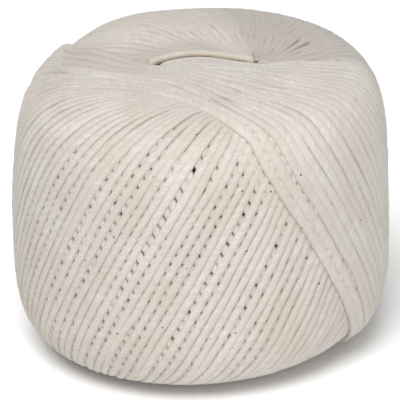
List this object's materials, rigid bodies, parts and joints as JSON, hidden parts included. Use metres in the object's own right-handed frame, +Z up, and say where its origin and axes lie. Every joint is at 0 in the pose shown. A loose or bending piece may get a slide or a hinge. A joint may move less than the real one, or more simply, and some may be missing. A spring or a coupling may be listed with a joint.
{
  "type": "ball of string",
  "caption": "Squat machine-wound ball of natural cotton string, cross-wound sheets with a closed slit in the top face and a flat spot below.",
  "frame": {"origin": "middle of the ball's extents, on the surface that it stands on", "axes": "+Z up along the winding axis, -Y towards the viewer's side, +X to the viewer's right"},
  "size_m": [0.101, 0.0986, 0.0827],
  "materials": {
    "natural_cotton": "soft laid undyed cotton string, matt"
  },
  "bodies": {
    "root": {"string_ball": "natural_cotton"}
  },
  "joints": []
}
